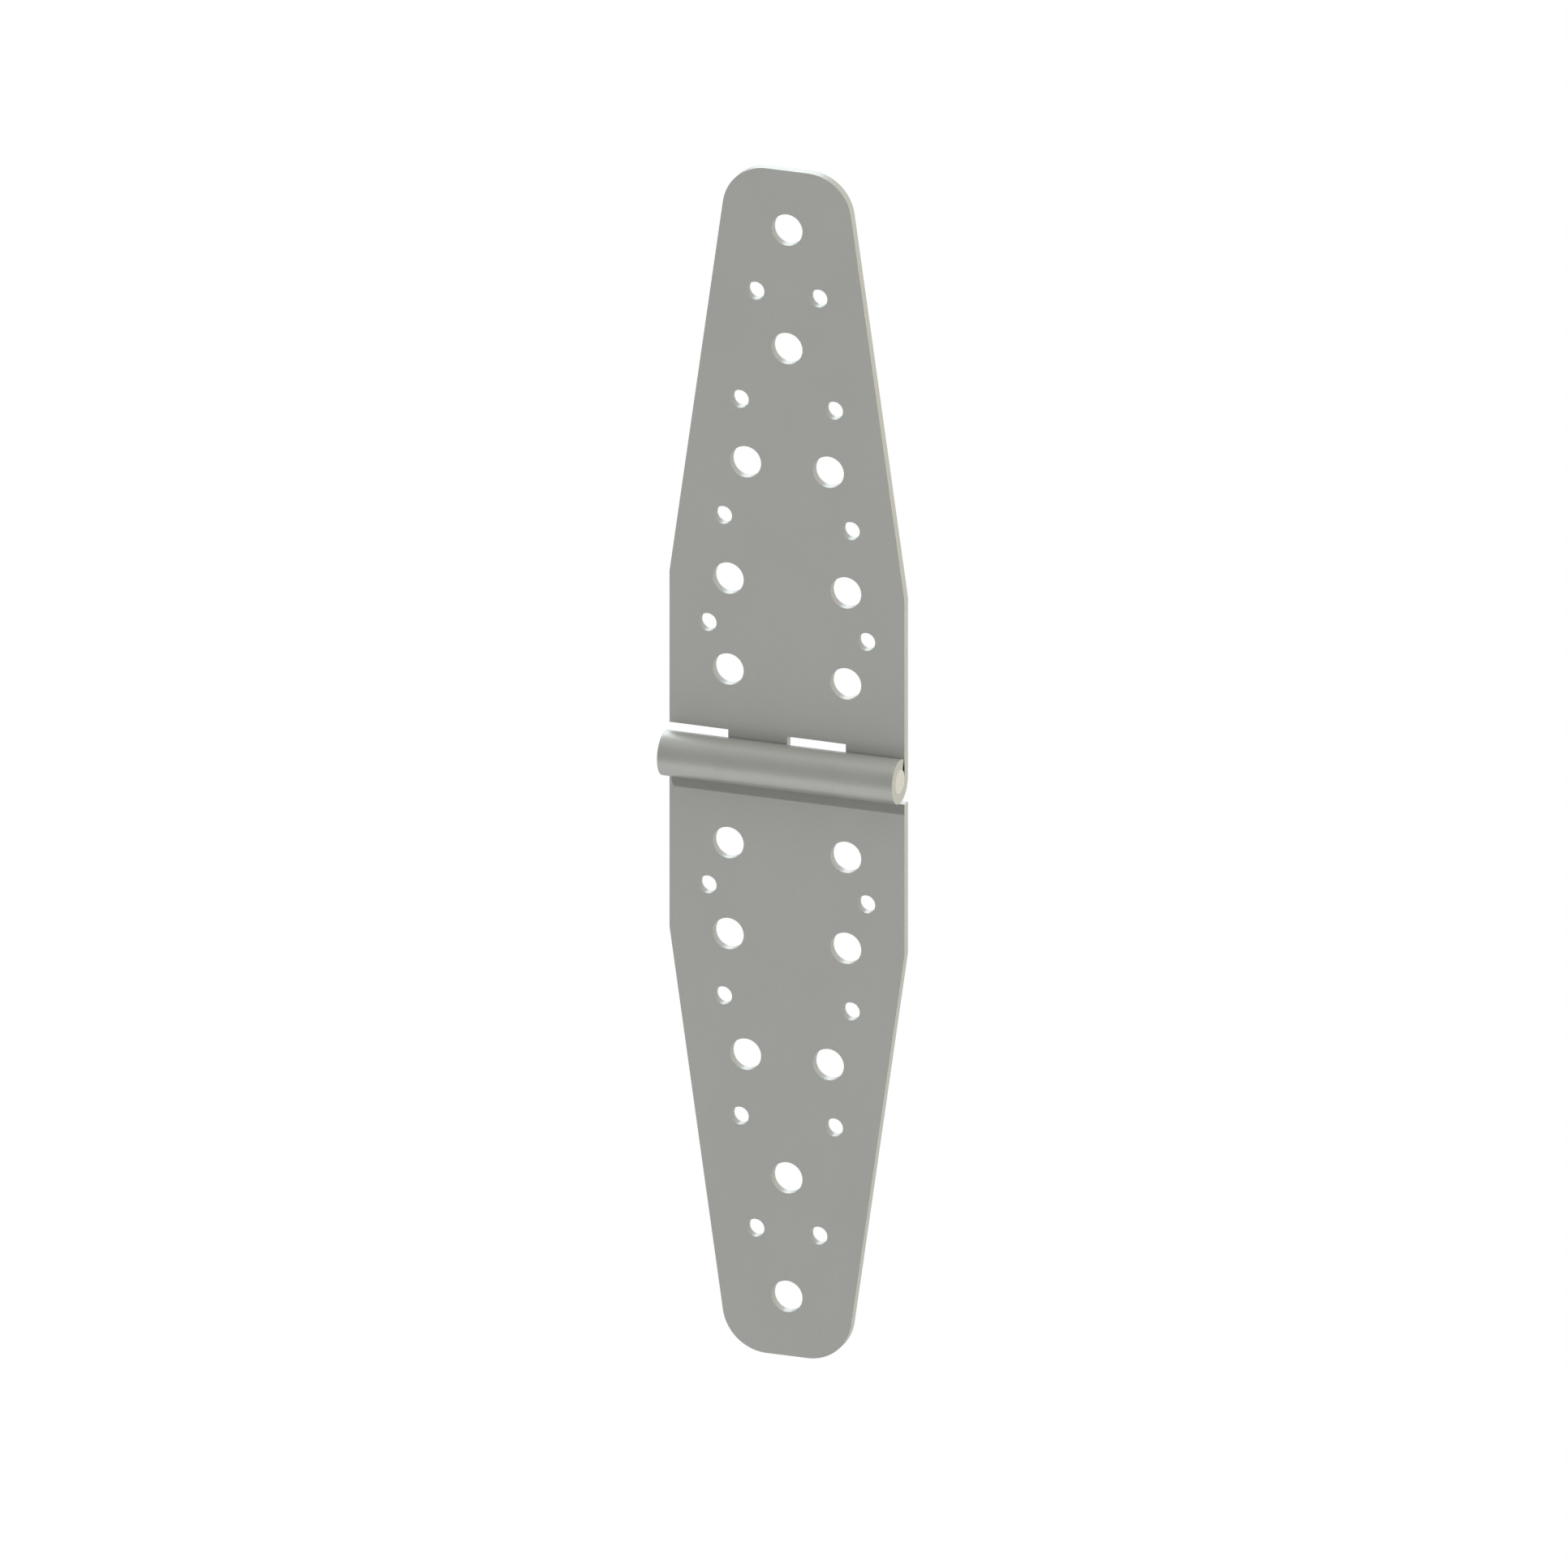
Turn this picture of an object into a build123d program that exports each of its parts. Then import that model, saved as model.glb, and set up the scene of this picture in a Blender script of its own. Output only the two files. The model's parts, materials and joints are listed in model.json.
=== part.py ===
from build123d import *
from math import acos, atan, cos, degrees
import os

# A strap hinge: two tapered sheet-steel leaves whose tongues are rolled round one plain pin.
# The origin is the middle of the pin. The pin lies along X, the leaves stand along Z, and their
# fronts, from which the knuckles stand proud, face -Y. All sizes are in millimetres.

# The strap
leaf_width = 80.0           # along the pin
sheet = 3.2                 # thickness of the steel
straight_length = 60.0      # from the pin to the shoulder, where the taper starts
tip_width = 40.0            # between the tapered sides at the tip, before its corners are rounded
tip_radius = 15.0

# The pin and the knuckles
pin_diameter = 8.0
pin_clearance = 0.08        # all round the pin, so that the knuckles turn on it
pin_chamfer = 0.2           # broken edge at each end of the pin
knuckle_count = 4           # shared in turn between the two leaves
knuckle_gap = 0.2           # side play between neighbouring knuckles
slot_clearance = 1.7        # from a knuckle to the bottom of the slot that it turns in
roll_gap_outside = 0.75     # from the rolled end to the leaf's front, at the end's outside corner
roll_gap_inside = 1.65      # the same at its inside corner: the end is sheared on the slant

# The bolt holes: a pair near the knuckles, a pair at the shoulder, a pair on the taper, and two in line
bolt_hole = 10.5
bolt_inset = 20.0           # from a pair's centres to the leaf's side, square to that side
root_row = 29.3             # from the pin to the pair near the knuckles
bolt_pitch = 40.0           # from the shoulder's pair to each row after it
tip_margin = 20.0           # from the last bolt hole to the tip

# The nail holes: pairs along the taper's line, one after each bolt row but the last
nail_hole = 6.0
nail_inset = 15.1           # from their centres to the taper's line, square to it
nail_steps = (15.0, 21.1, 21.0, 18.2)   # from each bolt row to the nail holes that follow it

# Section of the rolled sheet, about the pin
bore_radius = pin_diameter / 2 + pin_clearance
knuckle_radius = bore_radius + sheet
leaf_front = bore_radius
leaf_back = knuckle_radius
roll_stop_outside = degrees(acos((leaf_front - roll_gap_outside) / knuckle_radius))
roll_stop_inside = degrees(acos((leaf_front - roll_gap_inside) / bore_radius))
knuckle_pitch = leaf_width / knuckle_count
slot_floor = knuckle_radius + slot_clearance

# Rows of holes, and where the leaf's side stands beside them
shoulder_row = straight_length
taper_row = shoulder_row + bolt_pitch
neck_row = taper_row + bolt_pitch
tip_row = neck_row + bolt_pitch
leaf_length = tip_row + tip_margin
taper = (leaf_width - tip_width) / 2 / (leaf_length - straight_length)
slant = 1 / cos(atan(taper))


def taper_side(z):
    """Distance of the taper's line from the middle of the leaf, at height z above the pin."""
    return leaf_width / 2 - (z - straight_length) * taper


square_column = leaf_width / 2 - bolt_inset
taper_column = taper_side(taper_row) - bolt_inset * slant
bolt_pairs = ((square_column, root_row), (square_column, shoulder_row), (taper_column, taper_row))
bolt_holes = [(side * x, z) for x, z in bolt_pairs for side in (-1, 1)]
bolt_holes += [(0, neck_row), (0, tip_row)]

rows_before_nails = (root_row, shoulder_row, taper_row, neck_row)
nail_rows = [row + step for row, step in zip(rows_before_nails, nail_steps)]
nail_holes = [(side * (taper_side(z) - nail_inset * slant), z) for z in nail_rows for side in (-1, 1)]

# Upper leaf: the flat strap comes down behind the pin and rolls under it, round its front and over its top,
# until the sheared end all but meets the strap again
with BuildPart() as upper_leaf:
    with BuildSketch(Plane.YZ):
        with BuildLine():
            back = Line((leaf_back, leaf_length), (leaf_back, 0))
            roll_outside = CenterArc((0, 0), knuckle_radius, 0, roll_stop_outside - 360)
            roll_inside = CenterArc((0, 0), bore_radius, roll_stop_inside, 360 - roll_stop_inside)
            rolled_end = Line(roll_outside @ 1, roll_inside @ 0)
            front = Line((leaf_front, 0), (leaf_front, leaf_length))
            tip = Line(front @ 1, back @ 0)
        make_face()
    extrude(amount=leaf_width / 2, both=True)

    # Outline from the front: straight sides, then the taper to the rounded tip
    with BuildSketch(Plane.XZ) as outline:
        with BuildLine():
            Polyline(
                (-leaf_width / 2, -slot_floor),
                (leaf_width / 2, -slot_floor),
                (leaf_width / 2, straight_length),
                (tip_width / 2, leaf_length),
                (-tip_width / 2, leaf_length),
                (-leaf_width / 2, straight_length),
                close=True,
            )
        make_face()
        fillet(outline.vertices().group_by(Axis.Y)[-1], radius=tip_radius)
    extrude(amount=slot_floor, both=True, mode=Mode.INTERSECT)

    # Slots that leave every second knuckle to the other leaf
    with BuildSketch(Plane.XZ):
        with Locations((-knuckle_pitch / 2, slot_floor)):
            with GridLocations(2 * knuckle_pitch, 0, knuckle_count // 2, 1):
                Rectangle(knuckle_pitch + knuckle_gap, 2 * slot_floor, align=(Align.CENTER, Align.MAX))
    extrude(amount=slot_floor, both=True, mode=Mode.SUBTRACT)

    # Punched holes
    with Locations(Plane.XZ.offset(-leaf_front)):
        with Locations(*bolt_holes):
            Hole(radius=bolt_hole / 2)
        with Locations(*nail_holes):
            Hole(radius=nail_hole / 2)
upper_leaf.part.label = "upper_leaf"

# Lower leaf: the same pressing, turned half round about the line square to its face
with BuildPart() as lower_leaf:
    add(upper_leaf.part, rotation=(0, 180, 0))
lower_leaf.part.label = "lower_leaf"

# Pin: plain round bar, as long as the leaves are wide
with BuildPart() as pin:
    with BuildSketch(Plane.YZ):
        Circle(pin_diameter / 2)
    extrude(amount=leaf_width / 2, both=True)
    chamfer(pin.edges().filter_by(GeomType.CIRCLE), length=pin_chamfer)
pin.part.label = "pin"

os.makedirs("parts", exist_ok=True)
for piece in (upper_leaf, lower_leaf, pin):
    export_step(piece.part, f"parts/{piece.part.label}.step")
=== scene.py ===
import json
import math

import bpy
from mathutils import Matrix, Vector


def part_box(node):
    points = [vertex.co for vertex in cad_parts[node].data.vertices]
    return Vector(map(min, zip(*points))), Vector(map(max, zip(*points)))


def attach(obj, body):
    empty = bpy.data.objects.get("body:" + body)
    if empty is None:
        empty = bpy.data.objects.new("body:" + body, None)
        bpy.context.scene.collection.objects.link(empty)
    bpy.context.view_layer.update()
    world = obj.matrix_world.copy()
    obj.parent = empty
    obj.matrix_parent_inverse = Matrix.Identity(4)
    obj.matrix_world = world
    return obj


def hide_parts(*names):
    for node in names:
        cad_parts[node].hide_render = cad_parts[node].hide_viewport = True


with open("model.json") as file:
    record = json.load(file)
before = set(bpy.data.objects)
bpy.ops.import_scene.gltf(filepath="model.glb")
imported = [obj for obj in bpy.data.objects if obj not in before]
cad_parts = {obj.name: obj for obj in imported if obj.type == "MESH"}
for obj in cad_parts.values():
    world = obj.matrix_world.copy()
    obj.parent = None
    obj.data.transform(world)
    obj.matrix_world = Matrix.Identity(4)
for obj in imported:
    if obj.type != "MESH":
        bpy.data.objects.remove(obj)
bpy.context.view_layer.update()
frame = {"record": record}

# Leaves
# The two leaves are one pressing used twice: 3.2 mm sheet steel, blanked to a tapered strap, punched with
# bolt and nail holes, then zinc plated. Two tongues of each are rolled round the pin, and the lower leaf is
# the upper one turned half round about the line square to its face.
_, leaf_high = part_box("upper_leaf")
half_width = leaf_high.x
leaf_length = leaf_high.z
knuckle_radius = leaf_high.y
sheet = 0.0032
bore_radius = knuckle_radius - sheet
shoulder = 0.060
half_tip = 0.020
tip_radius = 0.015
knuckle_gap = 0.00002
slot_clearance = 0.0017
slot_floor = knuckle_radius + slot_clearance
roll_gap_outside = 0.00075
roll_gap_inside = 0.00165
roll_turn_outside = 2 * math.pi - math.acos((bore_radius - roll_gap_outside) / knuckle_radius)
roll_turn_inside = 2 * math.pi - math.acos((bore_radius - roll_gap_inside) / bore_radius)
tongue_length = (bore_radius + sheet / 2) * (roll_turn_inside + roll_turn_outside) / 2
tongue_steps = 96
tip_steps = 20
hole_sides = 72
edge_round = 0.00006
edge_segments = 2
edge_margin = 0.00001
weld_distance = 0.000001
crisp_angle = math.radians(40)
flat_face_weight = 100
millimetre = 0.001


def put(tree, kind, inputs=(), **options):
    """A new node with its options set, and each input given a value or wired to another node's output."""
    node = tree.nodes.new(kind)
    for name, value in options.items():
        setattr(node, name, value)
    for socket, value in dict(inputs).items():
        if isinstance(value, bpy.types.NodeSocket):
            tree.links.new(value, node.inputs[socket])
        else:
            node.inputs[socket].default_value = value
    return node


def reckon(tree, operation, *values):
    """The output of a Math node on numbers or other outputs."""
    return put(tree, "ShaderNodeMath", enumerate(values), operation=operation).outputs[0]


def blend(tree, value, ends, low=0.0, high=1.0, **options):
    """The output of a Map Range node, from low to high as the value goes from one end to the other."""
    inputs = {"Value": value, "From Min": ends[0], "From Max": ends[1], "To Min": low, "To Max": high}
    return put(tree, "ShaderNodeMapRange", inputs, **options).outputs[0]


def tongue_sides(left, right):
    """Down one side of a tongue and up the other, on the flat blank; minus is the length to be rolled."""
    steps = [-tongue_length * step / tongue_steps for step in range(tongue_steps + 1)]
    down = [(left, slot_floor)] + [(left, along) for along in steps]
    up = [(right, along) for along in reversed(steps)] + [(right, slot_floor)]
    return down + up


def blank_outline():
    """The flat blank, anticlockwise from its right side, across the leaf and along it."""
    taper = (half_width - half_tip) / (leaf_length - shoulder)
    lean = math.atan(taper)
    corner_along = leaf_length - tip_radius
    corner_across = half_width - (corner_along - shoulder) * taper - tip_radius / math.cos(lean)
    corner = []
    for step in range(tip_steps + 1):
        angle = lean + (math.pi / 2 - lean) * step / tip_steps
        across = corner_across + tip_radius * math.cos(angle)
        corner.append((across, corner_along + tip_radius * math.sin(angle)))
    side = [(half_width, shoulder)] + corner
    far_side = [(-across, along) for across, along in reversed(side)]
    pitch = half_width / 2
    tongues = tongue_sides(-pitch + knuckle_gap / 2, -knuckle_gap / 2)
    tongues += tongue_sides(pitch + knuckle_gap / 2, half_width)
    return side + far_side + [(-half_width, slot_floor)] + tongues


def punched_holes(leaf):
    """Centre and radius of each round hole of a leaf, from the bolt patterns that the record states."""
    holes = []
    for mount in frame["record"]["mounts"]:
        if mount["kind"] == "bolt_pattern" and mount["name"].startswith(leaf):
            dims = mount["dims"]
            across = dims.get("spacing_x_mm", 0) / 2 * millimetre
            along = dims.get("spacing_y_mm", 0) / 2 * millimetre
            centres = {(x, mount["pos_m"][2] + z) for x in (-across, across) for z in (-along, along)}
            holes += [(centre, dims["hole_r_mm"] * millimetre) for centre in sorted(centres)]
    return holes


def pressing_tree():
    """Geometry Nodes that punch the flat blank, give it its thickness and roll its tongues about the pin."""
    tree = bpy.data.node_groups.new("pressed_leaf", "GeometryNodeTree")
    tree.is_modifier = True
    sockets = [("Blank", "Geometry"), ("Sheet", "Float"), ("Knuckle Radius", "Float"), ("Tongue", "Float")]
    sockets += [("Turn Inside", "Float"), ("Turn Outside", "Float"), ("Hole Sides", "Int")]
    sockets += [("Half Turn", "Float"), ("Finish", "Material")]
    for name, kind in sockets:
        tree.interface.new_socket(name, in_out="INPUT", socket_type="NodeSocket" + kind)
    tree.interface.new_socket("Leaf", in_out="OUTPUT", socket_type="NodeSocketGeometry")
    given = put(tree, "NodeGroupInput").outputs

    # Punching: a circle at each punch point, cut out of the blank's outline
    punch = put(tree, "GeometryNodeInputNamedAttribute", {"Name": "punch_radius"}, data_type="FLOAT")
    radius = punch.outputs[0]
    is_punch = put(tree, "FunctionNodeCompare", {0: radius, 1: 0.0}, operation="GREATER_THAN")
    points = put(tree, "GeometryNodeMeshToPoints", {"Mesh": given["Blank"], "Selection": is_punch.outputs[0]})
    circle = put(tree, "GeometryNodeCurvePrimitiveCircle", {"Resolution": given["Hole Sides"], "Radius": 1.0})
    punches = put(tree, "GeometryNodeInstanceOnPoints",
                  {"Points": points.outputs[0], "Instance": circle.outputs[0], "Scale": radius})
    cuts = put(tree, "GeometryNodeRealizeInstances", {0: punches.outputs[0]})
    outline = put(tree, "GeometryNodeMeshToCurve", {"Mesh": given["Blank"]})
    curves = put(tree, "GeometryNodeJoinGeometry")
    for part in (outline, cuts):
        tree.links.new(part.outputs[0], curves.inputs[0])
    flat = put(tree, "GeometryNodeFillCurve", {0: curves.outputs[0]}, mode="TRIANGLES")

    # Thickness: the back face, the front face and the sheared walls between them
    raised = put(tree, "GeometryNodeExtrudeMesh",
                 {"Mesh": flat.outputs[0], "Offset Scale": given["Sheet"], "Individual": False}, mode="FACES")
    walls = put(tree, "GeometryNodeStoreNamedAttribute",
                {"Geometry": raised.outputs["Mesh"], "Name": "sheared", "Value": raised.outputs["Side"]},
                data_type="FLOAT", domain="FACE")
    back = put(tree, "GeometryNodeFlipFaces", {0: flat.outputs[0]})
    both = put(tree, "GeometryNodeJoinGeometry")
    for part in (walls, back):
        tree.links.new(part.outputs[0], both.inputs[0])
    closed = put(tree, "GeometryNodeMergeByDistance",
                 {"Geometry": both.outputs[0], "Distance": weld_distance})

    # Marking: the edges to be eased, and each point's place on the flat sheet
    place = put(tree, "GeometryNodeInputPosition").outputs[0]
    across, along, depth = put(tree, "ShaderNodeSeparateXYZ", {0: place}).outputs
    fold = put(tree, "GeometryNodeInputMeshEdgeAngle").outputs["Unsigned Angle"]
    crisp = reckon(tree, "GREATER_THAN", fold, crisp_angle)
    on_strap = reckon(tree, "GREATER_THAN", along, slot_floor - edge_margin)
    on_side = reckon(tree, "GREATER_THAN", reckon(tree, "ABSOLUTE", across), half_width - edge_margin)
    eased = reckon(tree, "MULTIPLY", crisp, reckon(tree, "MAXIMUM", on_strap, on_side))
    marked = put(tree, "GeometryNodeStoreNamedAttribute",
                 {"Geometry": closed.outputs[0], "Name": "bevel_weight_edge", "Value": eased},
                 data_type="FLOAT", domain="EDGE")
    mapped = put(tree, "GeometryNodeStoreNamedAttribute",
                 {"Geometry": marked.outputs[0], "Name": "sheet_place", "Value": place},
                 data_type="FLOAT_VECTOR", domain="POINT")

    # Rolling: what lies past the pin turns about it, the inside and the outside each by its own angle
    turn = blend(tree, depth, (0.0, given["Sheet"]), given["Turn Outside"], given["Turn Inside"])
    past_pin = reckon(tree, "MAXIMUM", reckon(tree, "MULTIPLY", along, -1.0), 0.0)
    angle = reckon(tree, "MULTIPLY", reckon(tree, "DIVIDE", past_pin, given["Tongue"]), turn)
    reach = reckon(tree, "SUBTRACT", given["Knuckle Radius"], depth)
    outward = reckon(tree, "MULTIPLY", reach, reckon(tree, "COSINE", angle))
    drop = reckon(tree, "MULTIPLY", reach, reckon(tree, "SINE", angle))
    height = reckon(tree, "SUBTRACT", reckon(tree, "MAXIMUM", along, 0.0), drop)
    bent = put(tree, "ShaderNodeCombineXYZ", {"X": across, "Y": outward, "Z": height})
    shaped = put(tree, "GeometryNodeSetPosition",
                 {"Geometry": mapped.outputs[0], "Position": bent.outputs[0]})
    turned = put(tree, "ShaderNodeCombineXYZ", {"Y": given["Half Turn"]})
    placed = put(tree, "GeometryNodeTransform",
                 {"Geometry": shaped.outputs[0], "Rotation": turned.outputs[0]})

    # Shading: smooth round the rolls and holes, sharp at the sheared edges
    smooth = put(tree, "GeometryNodeSetShadeSmooth", {"Geometry": placed.outputs[0]})
    corner = put(tree, "GeometryNodeInputMeshEdgeAngle").outputs["Unsigned Angle"]
    square = put(tree, "FunctionNodeCompare", {0: corner, 1: crisp_angle}, operation="GREATER_THAN")
    sharp = put(tree, "GeometryNodeSetShadeSmooth",
                {"Geometry": smooth.outputs[0], "Selection": square.outputs[0], "Shade Smooth": False},
                domain="EDGE")
    whole = put(tree, "GeometryNodeRealizeInstances", {0: sharp.outputs[0]})
    finished = put(tree, "GeometryNodeSetMaterial",
                   {"Geometry": whole.outputs[0], "Material": given["Finish"]})
    put(tree, "NodeGroupOutput", {"Leaf": finished.outputs[0]})
    return tree


def pressed_leaf(name, pressing, half_turn, finish):
    """A leaf's finished mesh, made from the flat blank by the pressing tree, with its sheared edges eased."""
    outline = blank_outline()
    holes = punched_holes("upper")
    corners = [(across, along, 0) for across, along in outline]
    edges = [(i, (i + 1) % len(outline)) for i in range(len(outline))]
    blank = bpy.data.meshes.new(name)
    blank.from_pydata(corners + [(x, z, 0) for (x, z), _ in holes], edges, [])
    punch = blank.attributes.new("punch_radius", "FLOAT", "POINT")
    for index, (_, radius) in enumerate(holes):
        punch.data[len(outline) + index].value = radius
    leaf = bpy.data.objects.new(name, blank)
    bpy.context.scene.collection.objects.link(leaf)
    press = leaf.modifiers.new("press", "NODES")
    press.node_group = pressing
    settings = {"Sheet": sheet, "Knuckle Radius": knuckle_radius, "Tongue": tongue_length,
                "Turn Inside": roll_turn_inside, "Turn Outside": roll_turn_outside,
                "Hole Sides": hole_sides, "Half Turn": half_turn, "Finish": finish}
    for item in pressing.interface.items_tree:
        if item.name in settings:
            press[item.identifier] = settings[item.name]
    ease = leaf.modifiers.new("ease", "BEVEL")
    ease.width = edge_round
    ease.segments = edge_segments
    ease.limit_method = "WEIGHT"
    ease.loop_slide = False
    even = leaf.modifiers.new("even", "WEIGHTED_NORMAL")
    even.weight = flat_face_weight
    even.keep_sharp = True
    ready = leaf.evaluated_get(bpy.context.evaluated_depsgraph_get())
    leaf.data = bpy.data.meshes.new_from_object(ready)
    leaf.modifiers.clear()
    return leaf


# The steel's grain, which the pin has too
line_share = 0.4
cloud_share = 0.5
noise_ends = (0.25, 0.75)
roughness_swing = 0.12
sheared_roughness = 0.15
grain_height = 0.00006
steel_metal = 0.43
steel_gloss = 0.2
steel_gloss_tint = (0.75, 0.75, 0.75, 1.0)


def grain_group():
    """Shader group for worked steel: lines along the sheet, or through it where it is sheared, with pits and
    faint clouds, in the colour, the roughness and the relief. The shade input darkens the colour with painted
    shade."""
    tree = bpy.data.node_groups.new("steel_grain", "ShaderNodeTree")
    sockets = [("Place", "Vector"), ("Sheared", "Float"), ("Colour", "Color")]
    sockets += [("Clouding", "Float"), ("Painted Shade", "Float"), ("Roughness", "Float")]
    for name, kind in sockets:
        tree.interface.new_socket(name, in_out="INPUT", socket_type="NodeSocket" + kind)
    for name, kind in (("Colour", "Color"), ("Roughness", "Float"), ("Height", "Float")):
        tree.interface.new_socket(name, in_out="OUTPUT", socket_type="NodeSocket" + kind)
    given = put(tree, "NodeGroupInput").outputs

    def noise(across, along, through, detail):
        """Noise with so many grains to the metre across the sheet, along it and through it."""
        stretched = put(tree, "ShaderNodeMapping",
                        {"Vector": given["Place"], "Scale": (across, along, through)})
        return put(tree, "ShaderNodeTexNoise",
                   {"Vector": stretched.outputs[0], "Scale": 1.0, "Detail": detail}).outputs[0]

    rolled = noise(across=7000.0, along=400.0, through=7000.0, detail=2.0)
    torn = noise(across=3500.0, along=3500.0, through=300.0, detail=3.0)
    pits = noise(across=2400.0, along=2400.0, through=2400.0, detail=3.0)
    clouds = noise(across=45.0, along=30.0, through=45.0, detail=4.0)
    lines = put(tree, "ShaderNodeMix", {"Factor": given["Sheared"], "A": rolled, "B": torn}).outputs["Result"]
    pit_part = reckon(tree, "MULTIPLY", pits, 1.0 - line_share)
    fine = reckon(tree, "MULTIPLY_ADD", lines, line_share, pit_part)
    fine_part = reckon(tree, "MULTIPLY", fine, 1.0 - cloud_share)
    tone = reckon(tree, "MULTIPLY_ADD", clouds, cloud_share, fine_part)
    swing = blend(tree, tone, noise_ends, -1.0, 1.0, clamp=False)
    lightness = reckon(tree, "MULTIPLY_ADD", swing, given["Clouding"], 1.0)
    # Painted shade: the colour is darkened by the shade input
    unshaded = reckon(tree, "SUBTRACT", 1.0, given["Painted Shade"])
    tinted = put(tree, "ShaderNodeVectorMath",
                 {0: given["Colour"], "Scale": reckon(tree, "MULTIPLY", lightness, unshaded)}, operation="SCALE")
    uneven = reckon(tree, "MULTIPLY_ADD", swing, roughness_swing, 1.0)
    rougher = reckon(tree, "MULTIPLY_ADD", given["Sheared"], sheared_roughness, uneven)
    put(tree, "NodeGroupOutput",
        {"Colour": tinted.outputs[0], "Roughness": reckon(tree, "MULTIPLY", rougher, given["Roughness"]),
         "Height": fine})
    return tree


steel_grain = grain_group()


def finish_steel(material, grain_inputs):
    """Wires the grain, with a steel's own inputs to it, into that steel's shader."""
    tree = material.node_tree
    shader = tree.nodes["Principled BSDF"]
    grain = put(tree, "ShaderNodeGroup", grain_inputs, node_tree=steel_grain).outputs
    relief = put(tree, "ShaderNodeBump",
                 {"Height": grain["Height"], "Strength": 1.0, "Distance": grain_height})
    tree.links.new(grain["Colour"], shader.inputs["Base Color"])
    tree.links.new(grain["Roughness"], shader.inputs["Roughness"])
    tree.links.new(relief.outputs[0], shader.inputs["Normal"])
    shader.inputs["Metallic"].default_value = steel_metal
    shader.inputs["Specular IOR Level"].default_value = steel_gloss
    shader.inputs["Specular Tint"].default_value = steel_gloss_tint


# The plating, and painted shade on a leaf's front where it meets the knuckles
zinc_colour = (0.437, 0.442, 0.416, 1.0)
zinc_clouding = 0.04
zinc_roughness = 0.34
front_depth = 0.99 * sheet
crease_line = 0.004
crease_top = 0.016
crease_falloff = 7.0
crease_shade_depth = 0.84
hollow_top = 0.045
hollow_falloff = 2.0
hollow_shade_depth = 0.09


def plated_steel():
    """Dull zinc on sheet steel; its grain follows the flat sheet, so it runs on round the rolled knuckles."""
    material = bpy.data.materials.new("zinc_plated_sheet")
    material.use_nodes = True
    tree = material.node_tree
    place = put(tree, "ShaderNodeAttribute", attribute_name="sheet_place").outputs["Vector"]
    sheared = put(tree, "ShaderNodeAttribute", attribute_name="sheared").outputs["Fac"]
    along, depth = put(tree, "ShaderNodeSeparateXYZ", {0: place}).outputs[1:]
    # Painted shade: the front darkens strongly into the crease above the knuckles and faintly for some way up
    # the strap, where the knuckles shade it
    crease = reckon(tree, "POWER", blend(tree, along, (crease_top, crease_line)), crease_falloff)
    hollow = reckon(tree, "POWER", blend(tree, along, (hollow_top, crease_line)), hollow_falloff)
    crease_shade = reckon(tree, "MULTIPLY", crease, crease_shade_depth)
    shade_amount = reckon(tree, "MULTIPLY_ADD", hollow, hollow_shade_depth, crease_shade)
    on_front = reckon(tree, "GREATER_THAN", depth, front_depth)
    painted_shade = reckon(tree, "MULTIPLY", shade_amount, on_front)
    finish_steel(material, {"Place": place, "Sheared": sheared, "Painted Shade": painted_shade, "Colour": zinc_colour,
                            "Clouding": zinc_clouding, "Roughness": zinc_roughness})
    return material


pressing = pressing_tree()
zinc = plated_steel()
for node, body, half_turn in (("upper_leaf", "upper", 0.0), ("lower_leaf", "lower", math.pi)):
    leaf = pressed_leaf(node + "_steel", pressing, half_turn, zinc)
    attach(leaf, body)
    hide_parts(node)

# Pin
# A plain length of drawn steel bar, cut off flush with the leaves and left bare.
# The knuckles of both leaves turn on it, and it shows only at its two ends.
pin_low, pin_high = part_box("pin")
pin_play = 0.00001
pin_radius = bore_radius - pin_play
pin_ease = 0.00003
pin_sides = 96
bar_colour = (0.568, 0.571, 0.528, 1.0)
bar_clouding = 0.03
bar_roughness = 0.38


def cut_bar():
    """The bar's mesh: rings of points from one cut end to the other, with the rims eased."""
    rings = [(pin_low.x, pin_radius - pin_ease), (pin_low.x + pin_ease, pin_radius)]
    rings += [(pin_high.x - pin_ease, pin_radius), (pin_high.x, pin_radius - pin_ease)]
    corners = []
    for across, radius in rings:
        for side in range(pin_sides):
            angle = 2 * math.pi * side / pin_sides
            corners.append((across, radius * math.cos(angle), radius * math.sin(angle)))
    first = list(range(pin_sides))
    last = [corner + len(corners) - pin_sides for corner in first]
    faces = [first[::-1], last]
    for start in range(0, len(corners) - pin_sides, pin_sides):
        for side in range(pin_sides):
            here = start + side
            beside = start + (side + 1) % pin_sides
            faces.append((here, beside, beside + pin_sides, here + pin_sides))
    bar = bpy.data.meshes.new("pin_bar")
    bar.from_pydata(corners, [], faces)
    bar.shade_smooth()
    bar.set_sharp_from_angle(angle=crisp_angle)
    return bar


def drawn_steel():
    """Bare bar, a little brighter than the plated leaves, with its grain along its length."""
    material = bpy.data.materials.new("drawn_bar")
    material.use_nodes = True
    tree = material.node_tree
    place = put(tree, "ShaderNodeTexCoord").outputs["Object"]
    lengthwise = put(tree, "ShaderNodeMapping", {"Vector": place, "Rotation": (0.0, 0.0, math.pi / 2)})
    finish_steel(material, {"Place": lengthwise.outputs[0], "Colour": bar_colour,
                            "Clouding": bar_clouding, "Roughness": bar_roughness})
    return material


pin = bpy.data.objects.new("pin_bar", cut_bar())
bpy.context.scene.collection.objects.link(pin)
pin.data.materials.append(drawn_steel())
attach(pin, "upper")
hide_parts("pin")

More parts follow.
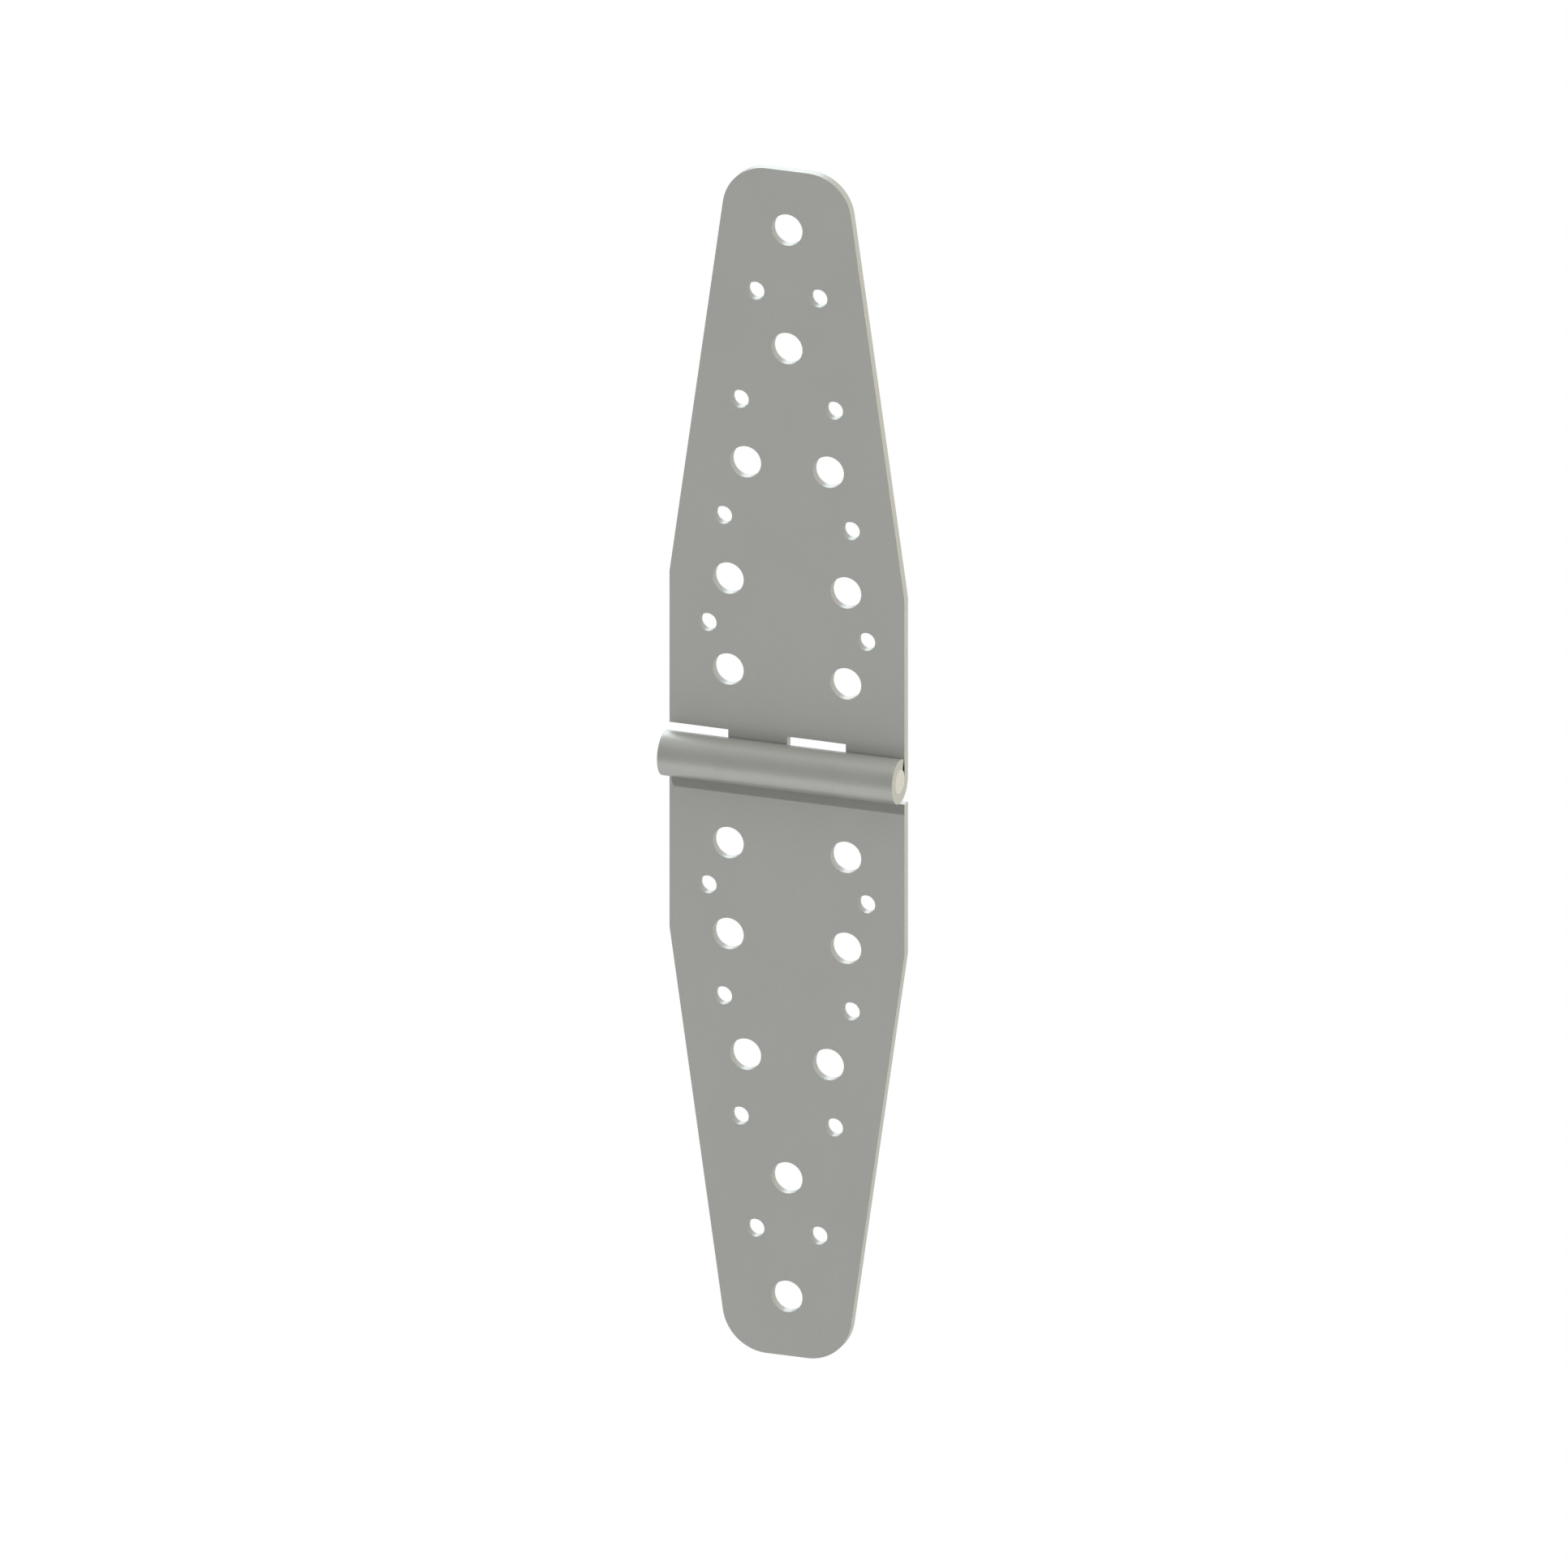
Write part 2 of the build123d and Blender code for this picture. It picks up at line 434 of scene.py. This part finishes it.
# Studio
# The hinge hangs in the air as on its mount, over a pale floor that lies below the picture. A lamp shines
# on it from above in front, a large soft box from behind and a warm one from the right, in a room that is
# dim in front. The camera sees the room as plain white.
white = (1.0, 1.0, 1.0, 1.0)
floor_drop = 2.0
floor_front = 2.0
floor_reach = 4.4
paper_colour = (0.6, 0.6, 0.6, 1.0)
paper_white = 0.36
paper_sheen = 0.25
room_front = 0.36
room_front_shine = 0.03
room_back_left = 0.47
room_back_right = 1.0
room_overhead = 0.32
room_below = 1.48
below_falloff = 2.0
front_to_back = (-0.8, 0.8)
left_to_right = (-0.2, 0.2)
level_to_below = (0.18, -0.75)
level_to_overhead = (0.55, 0.95)


def background_rays(tree):
    """Two outputs: 1 for rays straight from the camera, and 1 for rays from what shines, or else 0."""
    path = put(tree, "ShaderNodeLightPath").outputs
    shiny = reckon(tree, "MAXIMUM", path["Is Glossy Ray"], path["Is Transmission Ray"])
    return path["Is Camera Ray"], shiny


def white_paper():
    """Matt paper, with a glow to the camera and in what shines, so that it looks white there."""
    material = bpy.data.materials.new("white_paper")
    material.use_nodes = True
    tree = material.node_tree
    tree.nodes.clear()
    camera_ray, shiny_ray = background_rays(tree)
    sheen = reckon(tree, "MULTIPLY", shiny_ray, paper_sheen)
    lift = reckon(tree, "MULTIPLY_ADD", camera_ray, paper_white, sheen)
    matt = put(tree, "ShaderNodeBsdfDiffuse", {"Color": paper_colour})
    glow = put(tree, "ShaderNodeEmission", {"Color": white, "Strength": lift})
    both = put(tree, "ShaderNodeAddShader", {0: matt.outputs[0], 1: glow.outputs[0]})
    put(tree, "ShaderNodeOutputMaterial", {"Surface": both.outputs[0]})
    return material


def studio_room():
    """Light from all round: dim in front, brighter behind and overhead, and from below in what shines."""
    world = bpy.data.worlds.new("studio")
    world.use_nodes = True
    tree = world.node_tree
    tree.nodes.clear()
    camera_ray, shiny_ray = background_rays(tree)
    direction = put(tree, "ShaderNodeTexCoord").outputs["Generated"]
    way = put(tree, "ShaderNodeSeparateXYZ", {0: direction}).outputs
    below = reckon(tree, "POWER", blend(tree, way["Z"], level_to_below), below_falloff)
    shine = reckon(tree, "MULTIPLY_ADD", below, room_below, room_front_shine)
    front = put(tree, "ShaderNodeMix", {"Factor": shiny_ray, "A": room_front, "B": shine}).outputs["Result"]
    back = blend(tree, way["X"], left_to_right, room_back_left, room_back_right)
    around = blend(tree, way["Y"], front_to_back, front, back, interpolation_type="SMOOTHSTEP")
    overhead = blend(tree, way["Z"], level_to_overhead, high=room_overhead)
    level = reckon(tree, "ADD", around, overhead)
    room = put(tree, "ShaderNodeBackground", {"Color": white, "Strength": level})
    backdrop = put(tree, "ShaderNodeBackground", {"Color": white, "Strength": 1.0})
    seen = put(tree, "ShaderNodeMixShader", {0: camera_ray, 1: room.outputs[0], 2: backdrop.outputs[0]})
    put(tree, "ShaderNodeOutputWorld", {"Surface": seen.outputs[0]})
    return world


def hung_lamp(name, kind, way, distance):
    """A lamp that faces the hinge from the given direction."""
    lamp = bpy.data.objects.new(name, bpy.data.lights.new(name, kind))
    bpy.context.scene.collection.objects.link(lamp)
    outward = Vector(way).normalized()
    lamp.location = outward * distance
    lamp.rotation_mode = "QUATERNION"
    lamp.rotation_quaternion = (-outward).to_track_quat("-Z", "Y")
    return lamp


def soft_box(name, way, distance, size, radiance, colour):
    """A square soft box, which the camera itself doesn't see."""
    box = hung_lamp(name, "AREA", way, distance)
    box.data.size = size
    box.data.energy = radiance * math.pi * size ** 2
    box.data.color = colour
    box.visible_camera = False


floor_mesh = bpy.data.meshes.new("floor")
floor_corners = [(-floor_reach, -floor_front), (floor_reach, -floor_front)]
floor_corners += [(floor_reach, floor_reach), (-floor_reach, floor_reach)]
floor_mesh.from_pydata([(x, y, -floor_drop) for x, y in floor_corners], [], [(0, 1, 2, 3)])
floor_mesh.materials.append(white_paper())
floor = bpy.data.objects.new("floor", floor_mesh)
bpy.context.scene.collection.objects.link(floor)

bpy.context.scene.world = studio_room()
front_lamp = hung_lamp("front_lamp", "SUN", way=(-0.148, -0.785, 0.62), distance=2.0)
front_lamp.data.energy = 1.96
front_lamp.data.angle = math.radians(2.0)
front_lamp.visible_glossy = False
soft_box("back_box", way=(-0.47, 0.68, 0.56), distance=2.5, size=2.4, radiance=2.9, colour=(0.86, 0.95, 1.0))
soft_box("warm_box", way=(1.0, 0.08, 0.05), distance=2.0, size=1.3, radiance=4.95, colour=(1.0, 0.89, 0.63))

# Camera
# The view is a drawing's dimetric one: parallel, with widths and heights at full measure and depths at half.
# It is shifted a little, so that the hinge stands where the photograph has it.
photo_pixels = 1932
pixels_per_metre = 3870.56
hinge_left_of_centre = 1.92
hinge_above_centre = 20.64
camera_distance = 1.0
sight = Vector((1.0, -math.sqrt(7.0), 1.0)) / 3.0
turn = (-sight).to_track_quat("-Z", "Y")
camera_data = bpy.data.cameras.new("camera")
camera_data.type = "ORTHO"
camera_data.ortho_scale = photo_pixels / pixels_per_metre
camera = bpy.data.objects.new("camera", camera_data)
bpy.context.scene.collection.objects.link(camera)
camera.rotation_mode = "QUATERNION"
camera.rotation_quaternion = turn
offset = Vector((hinge_left_of_centre, -hinge_above_centre, 0.0)) / pixels_per_metre
camera.location = turn @ offset + sight * camera_distance
bpy.context.scene.camera = camera
bpy.context.scene.view_settings.view_transform = "Standard"
